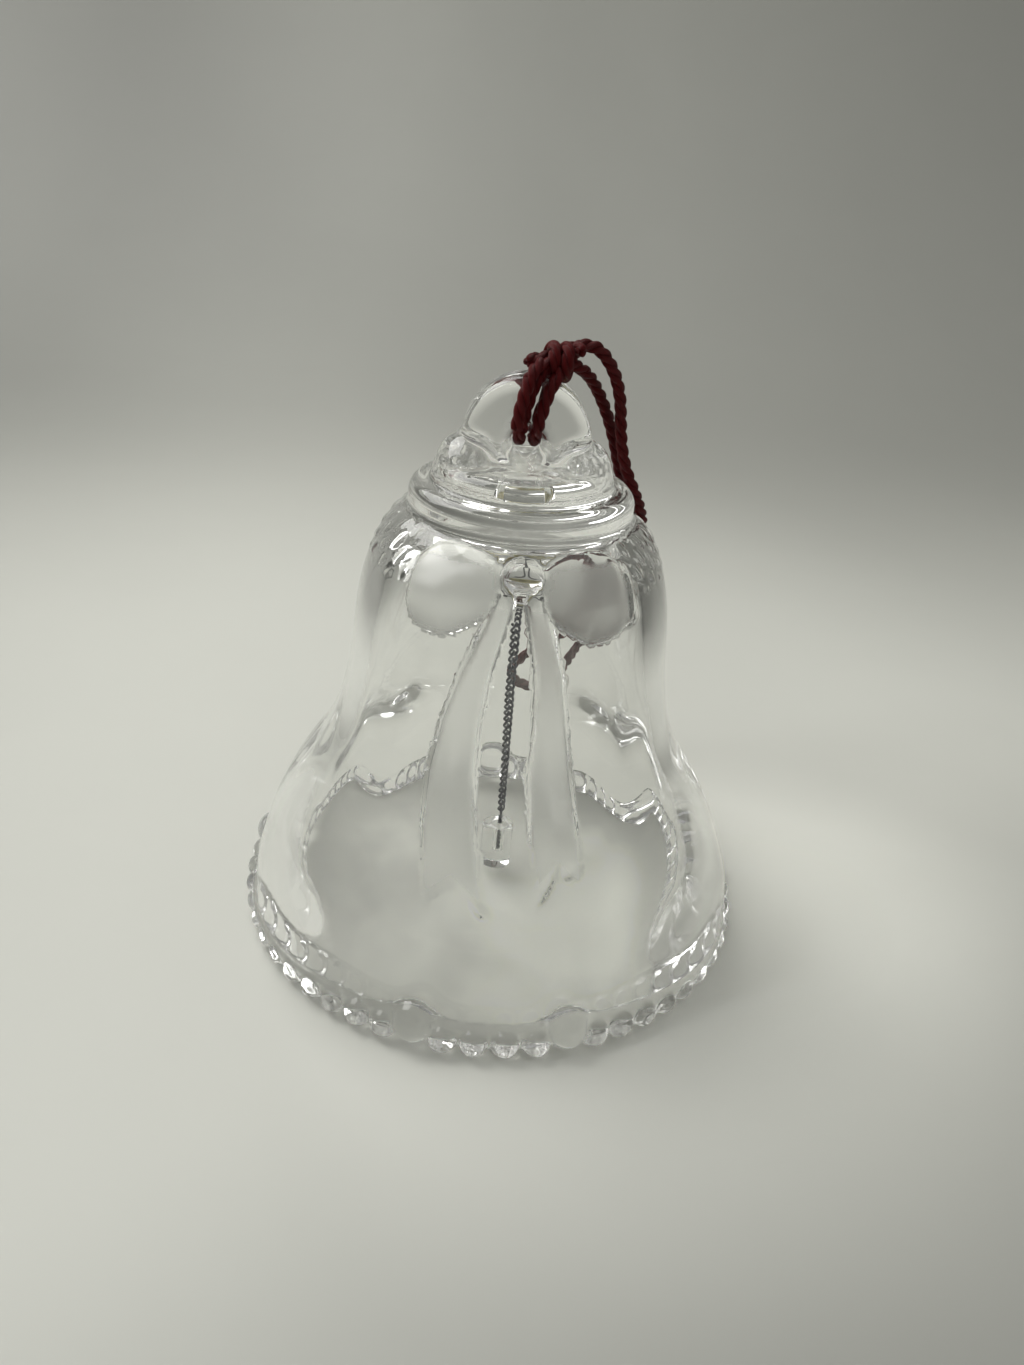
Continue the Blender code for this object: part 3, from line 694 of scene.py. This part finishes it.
def rounded(profile, bevel=0.25, steps=5):
    """The profile with each inner corner replaced by a small quadratic curve."""
    result = [profile[0]]
    for a, b, c in zip(profile, profile[1:], profile[2:]):
        a, b, c = np.array(a), np.array(b), np.array(c)
        start = b + (a - b) * min(0.45, bevel / max(np.linalg.norm(a - b), 1e-6))
        end = b + (c - b) * min(0.45, bevel / max(np.linalg.norm(c - b), 1e-6))
        for k in range(steps):
            t = k / (steps - 1)
            result.append(tuple((1 - t) ** 2 * start + 2 * t * (1 - t) * b + t * t * end))
    result.append(profile[-1])
    return result


# ---------------------------------------------------------------- the cord
def cord_mesh(path, turn=0.0, twist=CORD_TWIST, ply_r=PLY_R, offset=PLY_OFFSET, plies=3):
    """Points, faces and ply coordinates of a twisted cord: each ply is a tube wound round the path."""
    walked = np.concatenate([[0.0], np.cumsum(np.linalg.norm(np.diff(path, axis=0), axis=1))])
    _, u, v = frames_along(path)
    points, faces, coords = [], [], []
    sides = 12
    for ply in range(plies):
        phase = turn + 2 * np.pi * (ply / plies - walked / twist)
        line = path + (np.cos(phase)[:, None] * u + np.sin(phase)[:, None] * v) * offset
        ply_points, ply_faces = tube(line, ply_r, sides)
        start = len(points)
        points.extend(ply_points.tolist())
        for face in ply_faces:
            faces.append(tuple(start + k for k in face))
            for corner in face:
                row, column = divmod(corner, sides)
                wrap = sides if column == 0 and any(k % sides == sides - 1 for k in face) else column
                coords.append((wrap / sides * 3.0 + walked[min(row, len(path) - 1)] * 0.35, walked[row]))
    return points, faces, coords


def cord_piece(name, paths, mat, nodes, **options):
    """One piece of twisted cord along one path or more."""
    points, faces, coords = [], [], []
    for path in paths:
        more_points, more_faces, more_coords = cord_mesh(path, **options)
        faces += [tuple(len(points) + k for k in face) for face in more_faces]
        points += more_points
        coords += more_coords
    piece = mesh_piece(name, points, faces, mat, BELL, nodes, "cord_rayon")
    layer = piece.data.uv_layers.new(name="ply")
    layer.data.foreach_set("uv", np.array(coords, np.float32).ravel())
    return piece


def knot_strands():
    """The knot, which isn't a tied one: a wound coil and the ends of the strands that run into it."""
    wraps = []
    for k in range(41):
        t = k / 40
        angle = math.radians(200 + 1000 * t)
        wraps.append((
            KNOT_AT[0] - 3.4 + 6.4 * t + 0.5 * math.sin(angle), KNOT_AT[1] + 0.2 + 2.7 * math.cos(angle),
            KNOT_AT[2] - 0.4 + 2.4 * math.sin(angle),
        ))
    middle = Vector(KNOT_AT) - Vector((1.0, 0.0, 0.4))
    strands = [wraps]
    for route in (SLING_LEFT, SLING_RIGHT, LOOP, FRONT_TAIL, TOP_TAIL):
        for end, before in ((Vector(route[0]), Vector(route[1])), (Vector(route[-1]), Vector(route[-2]))):
            if (end - middle).length < (before - middle).length:
                onward = (end - before).normalized()
                strands.append([end - onward, end, end + onward * 1.4 + (middle - end) * 0.3,
                                middle + (end - middle) * 0.2])
    return strands


def make_cord():
    """The hanging cord: the knot and cut ends, then the long loop and the strands through the hole."""
    rayon = rayon_material()
    knot = cord_piece("knot_wraps", [smooth_route(line, 0.35) for line in knot_strands()], rayon,
                      ["cord_knot"], turn=0.4)
    front = cord_piece("front_tail", [smooth_route(FRONT_TAIL, 0.35)], rayon, ["cord_tail_front"], turn=1.0)
    top = cord_piece("top_tail", [smooth_route(TOP_TAIL, 0.35)], rayon, ["cord_tail_top"], turn=2.0)
    for name, route, turn, nodes, others in (
        ("hanging_loop", LOOP, 0.0, ["cord_loop"], [knot, top, front]),
        ("left_sling", SLING_LEFT, 0.7, ["cord_sling_left"], []),
        ("right_sling", SLING_RIGHT, 1.9, ["cord_sling_right"], []),
    ):
        path = smooth_route(route, 0.4)
        piece = cord_piece(name, [path], rayon, nodes, turn=turn)


# ---------------------------------------------------------------- inside the bell
HANG_X = 1.0
LINKS = 32
LINK_PITCH = 1.6
LINK_WIRE = 0.56
LINK_WIDTH = 2.5
LINK_PLAY = 0.12
EYE_WIRE = 0.8
EYE_BOTTOM_Z = 72.6
EYE_LOOP_R = 1.5
PIN_WIRE = 0.7
PIN_EYE_R = 1.2
STEM_PLAY = 0.2


def link_centre(number):
    """The height of a link's centre, counted from 1 at the top."""
    head = EYE_BOTTOM_Z + LINK_PLAY + LINK_WIRE / 2
    return head - (LINK_PITCH + LINK_PLAY + LINK_WIRE) / 2 - (number - 1) * LINK_PITCH


def link_mesh():
    """One curb link: an oval of wire twisted a quarter turn, its foot along X and its head along Y."""
    half_length = (LINK_PITCH + LINK_PLAY + LINK_WIRE) / 2
    half_width = (LINK_WIDTH - LINK_WIRE) / 2
    path = []
    steps = 40
    for k in range(steps):
        angle = 2 * math.pi * k / steps
        across, z = half_width * math.cos(angle), half_length * math.sin(angle)
        turn = math.radians(45 + 45 * z / half_length)
        path.append((across * math.cos(turn), across * math.sin(turn), z))
    return tube(path, LINK_WIRE / 2, 12, cyclic=True)


def body_of_node(node):
    """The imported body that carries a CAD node."""
    for body, nodes in frame["record"]["behaviour"]["bodies"].items():
        if node in nodes:
            return body
    return BELL


def make_chain():
    steel = steel_material("chain_steel", (0.10, 0.10, 0.105), (0.38, 0.38, 0.39), 0.32)
    points, faces = link_mesh()
    for number in range(1, LINKS + 1):
        node = f"chain_link_{number:02d}"
        centre = np.array((HANG_X, 0.0, link_centre(number)))
        mesh_piece(f"link_{number:02d}_wire", np.asarray(points) + centre, faces, steel, body_of_node(node),
                   [node], "chain_steel")


def make_hanger():
    wire_steel = steel_material("hanger_steel", (0.12, 0.12, 0.12), (0.45, 0.45, 0.44), 0.35)
    _, high = (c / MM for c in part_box("hanger_eye"))
    foot_z = high.z - EYE_WIRE / 2
    centre_z = EYE_BOTTOM_Z - EYE_WIRE / 2 + EYE_LOOP_R
    points = [(HANG_X - 5.0, 0.0, foot_z), (HANG_X - 2.6, 0.0, foot_z), (HANG_X - 1.3, 0.0, foot_z - 0.5)]
    points.append((HANG_X - 0.75, 0.0, foot_z - 1.6))
    for k in range(9):
        angle = math.radians(155 + k * 28.75)
        points.append((HANG_X + EYE_LOOP_R * math.cos(angle), 0.0, centre_z + EYE_LOOP_R * math.sin(angle)))
    points.append((HANG_X + 0.75, 0.0, foot_z - 1.6))
    points += [(HANG_X + 1.3, 0.0, foot_z - 0.5), (HANG_X + 2.6, 0.0, foot_z), (HANG_X + 5.0, 0.0, foot_z)]
    eye = tube(smooth_route(points, 0.25), EYE_WIRE / 2, 14)
    mesh_piece("hanger_wire", *eye, wire_steel, BELL, ["hanger_eye"], "steel_wire")


def make_pad():
    low, high = (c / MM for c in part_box("adhesive_pad"))
    radius = (high.x - low.x) / 2
    middle = (low.z + high.z) / 2
    half = (high.z - low.z) / 2

    def wobble(angle, r):
        edge = r / radius
        return 1 - edge * (0.035 + 0.035 * math.sin(3 * angle + 1.0) + 0.02 * math.sin(7 * angle))

    profile = [(0.0, half), (radius * 0.5, half * 0.99), (radius * 0.93, half * 0.9), (radius, 0.1),
               (radius * 0.95, -half * 0.6), (radius * 0.6, -half * 0.92), (0.0, -half)]
    pad = lathe(rounded(profile, 0.6, 6), ((low.x + high.x) / 2, (low.y + high.y) / 2, middle), 72, wobble)
    mesh_piece("adhesive_blob", *pad, adhesive_material(), BELL, ["adhesive_pad"], "adhesive")


def make_clapper():
    low, high = (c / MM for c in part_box("clapper"))
    pin_low, pin_high = (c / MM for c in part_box("clapper_pin"))
    radius = (high.x - low.x) / 2
    centre_x = (high.x + low.x) / 2
    hole = PIN_WIRE * 0.85 + STEM_PLAY
    floor = pin_low.z - STEM_PLAY
    profile = [(0.0, floor), (hole, floor), (hole, high.z), (radius, high.z), (radius, low.z), (0.0, low.z)]
    fine = [profile[0]]
    fine += rounded([profile[0], profile[1], profile[2]], 0.15, 4)[1:-1]
    fine += rounded([profile[1], profile[2], profile[3]], 0.25, 5)[1:-1]
    fine += rounded([profile[2], profile[3], profile[4]], 1.1, 9)[1:-1]
    fine += rounded([profile[3], profile[4], profile[5]], 0.5, 7)[1:-1]
    fine.append(profile[5])
    bar = lathe(fine, (centre_x, 0.0, 0.0), 96)
    mesh_piece("clapper_bar", *bar, acrylic_material(), "clapper", ["clapper"], "acrylic")
    eye_z = pin_high.z - PIN_WIRE / 2 - PIN_EYE_R
    eye = []
    for k in range(25):
        angle = math.radians(-62 + k * 304 / 24)
        eye.append((centre_x, PIN_EYE_R * math.cos(angle), eye_z + PIN_EYE_R * math.sin(angle)))
    points, faces = tube(eye, PIN_WIRE / 2, 14)
    steel = steel_material("pin_steel", (0.07, 0.07, 0.075), (0.30, 0.30, 0.31), 0.38)
    points = list(points)
    stem_path = smooth_route([(centre_x, 0.0, eye_z - 0.9), (centre_x, 0.0, (eye_z + floor) / 2),
                              (centre_x, 0.0, floor + 0.35)], 0.25)
    legs = cord_mesh(stem_path, twist=2.6, ply_r=0.33, offset=0.27, plies=2)
    start = len(points)
    points += legs[0]
    faces = list(faces) + [tuple(start + k for k in f) for f in legs[1]]
    mesh_piece("pin_wire", points, faces, steel, "clapper", ["clapper_pin"], "pin_steel")


def make_glass():
    """One closed glass mesh, with a satin value at each point for its material."""
    low = (CAD_BOX[0][0] / MM - 1.0, CAD_BOX[0][1] / MM - 1.0, -1.2)
    high = (CAD_BOX[1][0] / MM + 1.0, CAD_BOX[1][1] / MM + 1.0, DISC_Z + DISC_R + 1.5)
    points, quads = surface_nets(glass, low, high, CELL)
    points, normals = settle(glass, points, CELL)
    bell = mesh_piece("bell_glass", points, quads, glass_material(), BELL, ["glass_bell"], "glass", normals)
    satin = bell.data.attributes.new("satin", "FLOAT", "POINT")
    satin.data.foreach_set("value", satin_amount(points.T).astype(np.float32))


# ---------------------------------------------------------------- the stage
VIEW_DISTANCE = 240.946  # from the origin to the camera, in millimetres
VIEW_ELEVATION = 39.12
VIEW_AZIMUTH = 2.645
VIEW_YAW = -0.343
VIEW_PITCH = 10.808
VIEW_ROLL = 4.675
FOCAL_SHARE = 1020 / 1024  # focal length over the picture's width
SENSOR = 36.0


def make_camera():
    """The camera looks at the origin, then turns by a small yaw, pitch and roll of its own."""
    az, el = math.radians(VIEW_AZIMUTH), math.radians(VIEW_ELEVATION)
    place_at = Vector((-math.sin(az) * math.cos(el), -math.cos(az) * math.cos(el), math.sin(el)))
    forward = -place_at
    right = forward.cross(Vector((0, 0, 1))).normalized()
    up = right.cross(forward)

    def turned(vector, axis, degrees):
        angle = math.radians(degrees)
        return (vector * math.cos(angle) + axis.cross(vector) * math.sin(angle)
                + axis * axis.dot(vector) * (1 - math.cos(angle)))

    forward, right = turned(forward, up, VIEW_YAW), turned(right, up, VIEW_YAW)
    forward, up = turned(forward, right, VIEW_PITCH), turned(up, right, VIEW_PITCH)
    roll = math.radians(VIEW_ROLL)
    across = right * math.cos(roll) + up * math.sin(roll)
    above = -right * math.sin(roll) + up * math.cos(roll)
    data = bpy.data.cameras.new("camera")
    data.sensor_fit = "HORIZONTAL"
    data.sensor_width = SENSOR
    data.lens = SENSOR * FOCAL_SHARE
    data.clip_start = 0.01
    data.clip_end = 20.0
    camera = bpy.data.objects.new("camera", data)
    bpy.context.scene.collection.objects.link(camera)
    matrix = camera.matrix_world.to_3x3()
    matrix.col[0], matrix.col[1], matrix.col[2] = across, above, -forward
    camera.matrix_world = matrix.to_4x4()
    camera.location = place_at * VIEW_DISTANCE * MM
    bpy.context.scene.camera = camera


def smooth_range(nodes, links, value, low, high, to_low, to_high):
    node = nodes.new("ShaderNodeMapRange")
    node.interpolation_type = "SMOOTHSTEP"
    node.inputs["From Min"].default_value = low
    node.inputs["From Max"].default_value = high
    node.inputs["To Min"].default_value = to_low
    node.inputs["To Max"].default_value = to_high
    links.new(value, node.inputs["Value"])
    return node.outputs["Result"]


def arithmetic(nodes, links, operation, a, b):
    node = nodes.new("ShaderNodeMath")
    node.operation = operation
    for socket, value in zip(node.inputs, (a, b)):
        if isinstance(value, float):
            socket.default_value = value
        else:
            links.new(value, socket)
    return node.outputs[0]


SCATTER_AT = (0.055, -0.035, 0.0)  # middle of the light that the bell passes on to the paper beside it


def stage_material():
    """Pale grey paper with painted shade: darker towards the back, both sides and the front right corner,
    where less light falls.

    Under the bell it is paler and blotchy, and to the front right of it paler, which stands for the light
    that the glass gathers and passes on.
    """
    mat, nodes, links, shader = new_material("pale_sweep")
    shader.inputs["Roughness"].default_value = 0.5
    shader.inputs["Specular IOR Level"].default_value = 0.2
    coords = nodes.new("ShaderNodeTexCoord")
    split = nodes.new("ShaderNodeSeparateXYZ")
    links.new(coords.outputs["Object"], split.inputs["Vector"])
    across, along = split.outputs["X"], split.outputs["Y"]
    # painted shade: the paper darkens towards the back and the far sides, and is a little paler beside the
    # bell, as the overhead light falls
    back = smooth_range(nodes, links, along, 0.08, 0.42, 1.0, 0.58)
    left = smooth_range(nodes, links, across, -0.30, -0.06, 0.68, 1.08)
    right = smooth_range(nodes, links, across, 0.02, 0.12, 1.0, 1.07)
    far_corner = arithmetic(nodes, links, "ADD", across, along)
    far_right_painted_shade = smooth_range(nodes, links, far_corner, 0.2, 0.45, 1.0, 0.84)
    # painted shadow in the front right corner, easing off further out
    corner = arithmetic(nodes, links, "SUBTRACT", arithmetic(nodes, links, "MULTIPLY", across, 0.7), along)
    front = smooth_range(nodes, links, corner, 0.03, 0.17, 1.0, 0.5)
    nearer = smooth_range(nodes, links, corner, 0.2, 0.5, 0.0, 0.4)
    front = arithmetic(nodes, links, "ADD", front, nearer)
    beside = nodes.new("ShaderNodeVectorMath")
    beside.operation = "DISTANCE"
    beside.inputs[1].default_value = SCATTER_AT
    links.new(coords.outputs["Object"], beside.inputs[0])
    # painted light beside the bell, for the light that the glass passes on
    scattered = smooth_range(nodes, links, beside.outputs["Value"], 0.02, 0.10, 1.55, 1.0)
    tone = back
    for factor in (left, right, far_right_painted_shade, front, scattered):
        tone = arithmetic(nodes, links, "MULTIPLY", tone, factor)
    mottling = noise(nodes, links, 14.0, 6.0, 0.6)
    grain = map_range(nodes, links, mottling.outputs["Fac"], 0.97, 1.03)
    tone = arithmetic(nodes, links, "MULTIPLY", tone, grain.outputs["Result"])
    distance = nodes.new("ShaderNodeVectorMath")
    distance.operation = "LENGTH"
    links.new(coords.outputs["Object"], distance.inputs[0])
    # painted light under the bell: blotches for the light that the glass gathers
    blotches = noise(nodes, links, 45.0, 2.0, 0.45)
    painted_gathered_light = map_range(nodes, links, blotches.outputs["Fac"], 0.72, 1.55)
    inside = smooth_range(nodes, links, distance.outputs["Value"], 0.036, 0.048, 1.0, 0.0)
    extra = arithmetic(nodes, links, "SUBTRACT", painted_gathered_light.outputs["Result"], 1.0)
    extra = arithmetic(nodes, links, "MULTIPLY", extra, inside)
    tone = arithmetic(nodes, links, "MULTIPLY", tone, arithmetic(nodes, links, "ADD", extra, 1.0))
    mix = nodes.new("ShaderNodeMix")
    mix.data_type = "RGBA"
    mix.clamp_factor = False
    mix.inputs["A"].default_value = (0.0, 0.0, 0.0, 1.0)
    mix.inputs["B"].default_value = (0.675, 0.68, 0.625, 1.0)
    links.new(tone, mix.inputs["Factor"])
    links.new(mix.outputs["Result"], shader.inputs["Base Color"])
    return mat


SWEEP_HALF = 1.6  # half the paper's width, and how far it reaches in front (m)
SWEEP_BEND_Y = 0.3  # where the paper starts to rise
SWEEP_BEND_R = 0.45
SWEEP_TOP_Z = 1.2


def make_sweep():
    """A pale floor that curves up behind the object into a low backdrop."""
    profile = [(-SWEEP_HALF, 0.0), (-0.6, 0.0), (SWEEP_BEND_Y, 0.0)]
    for k in range(1, 17):
        angle = math.radians(90 * k / 16)
        profile.append((SWEEP_BEND_Y + SWEEP_BEND_R * math.sin(angle), SWEEP_BEND_R * (1 - math.cos(angle))))
    profile.append((SWEEP_BEND_Y + SWEEP_BEND_R, SWEEP_TOP_Z))
    points, faces = [], []
    for y, z in profile:
        points += [(-SWEEP_HALF, y, z), (SWEEP_HALF, y, z)]
    for k in range(len(profile) - 1):
        faces.append((2 * k, 2 * k + 1, 2 * k + 3, 2 * k + 2))
    mesh = bpy.data.meshes.new("sweep")
    mesh.from_pydata(points, [], faces)
    mesh.shade_smooth()
    mesh.materials.append(stage_material())
    sweep = bpy.data.objects.new("sweep", mesh)
    bpy.context.scene.collection.objects.link(sweep)


def area_light(name, at, target, size, power, colour=(1.0, 1.0, 1.0)):
    data = bpy.data.lights.new(name, "AREA")
    data.shape = "RECTANGLE"
    data.size, data.size_y = size
    data.energy = power
    data.color = colour
    light = bpy.data.objects.new(name, data)
    light.location = at
    light.rotation_euler = (Vector(target) - Vector(at)).to_track_quat("-Z", "Y").to_euler()
    bpy.context.scene.collection.objects.link(light)
    return light


def make_lights():
    area_light("overhead", (-0.5, 0.42, 0.78), (0.0, 0.03, 0.0), (0.9, 0.7), 7.9, (1.0, 0.995, 0.97))
    window = area_light("window", (-0.9, -0.35, 0.55), (0.0, 0.0, 0.05), (0.12, 0.5), 1.1, (0.97, 0.99, 1.0))
    window.visible_glossy = False
    window.visible_transmission = False
    lamp = area_light("lamp", (-0.35, -0.25, 0.95), (0.0, 0.0, 0.05), (0.03, 0.03), 0.5)
    lamp.visible_diffuse = False
    world = bpy.data.worlds.new("room")
    bpy.context.scene.world = world
    world.use_nodes = True
    nodes, links = world.node_tree.nodes, world.node_tree.links
    background = nodes["Background"]
    coords = nodes.new("ShaderNodeTexCoord")
    split = nodes.new("ShaderNodeSeparateXYZ")
    links.new(coords.outputs["Generated"], split.inputs["Vector"])
    tone = ramp(
        nodes, links, split.outputs["Z"],
        ((0.0, (0.18, 0.18, 0.175)), (0.5, (0.24, 0.24, 0.235)), (0.6, (0.31, 0.31, 0.305)),
         (1.0, (0.38, 0.38, 0.37))),
    )
    links.new(tone.outputs["Color"], background.inputs["Color"])
    background.inputs["Strength"].default_value = 1.0


def render_settings():
    scene = bpy.context.scene
    scene.view_settings.view_transform = "Standard"
    scene.cycles.max_bounces = 40
    scene.cycles.transmission_bounces = 40
    scene.cycles.glossy_bounces = 32
    scene.cycles.diffuse_bounces = 4
    scene.cycles.use_denoising = True
    scene.cycles.caustics_refractive = True
    scene.cycles.caustics_reflective = True
    scene.cycles.blur_glossy = 0.5


make_camera()
make_cord()
make_sweep()
make_lights()
render_settings()
make_glass()
make_pad()
make_hanger()
make_chain()
make_clapper()
